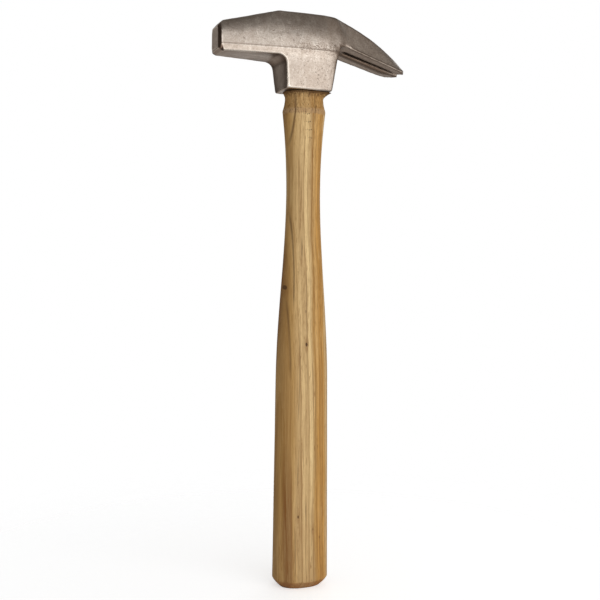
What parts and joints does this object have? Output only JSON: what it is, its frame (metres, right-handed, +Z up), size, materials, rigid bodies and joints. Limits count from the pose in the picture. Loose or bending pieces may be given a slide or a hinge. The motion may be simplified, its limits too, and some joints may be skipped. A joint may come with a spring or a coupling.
{
  "type": "farrier's hammer",
  "caption": "Farrier's driving hammer with a square striking face, a split nail claw and a shaped wooden handle wedged in the eye.",
  "frame": {"origin": "centre of the flat end of the handle's butt", "axes": "+Z up the handle from its butt to the head, -X the way the striking face looks, +X towards the claws, -Y the side that faces the camera in the picture"},
  "size_m": [0.1144, 0.03, 0.3275],
  "materials": {
    "hammer_head": "satin forged and tumbled steel, worn bright on its edges",
    "handle": "straight-grained ash or hickory, thinly lacquered",
    "wooden_wedge": "bare hardwood",
    "steel_wedge": "plain mild steel, filed flush"
  },
  "bodies": {
    "root": {"hammer_head": "hammer_head", "handle": "handle", "wooden_wedge": "wooden_wedge", "steel_wedge": "steel_wedge"}
  },
  "joints": []
}
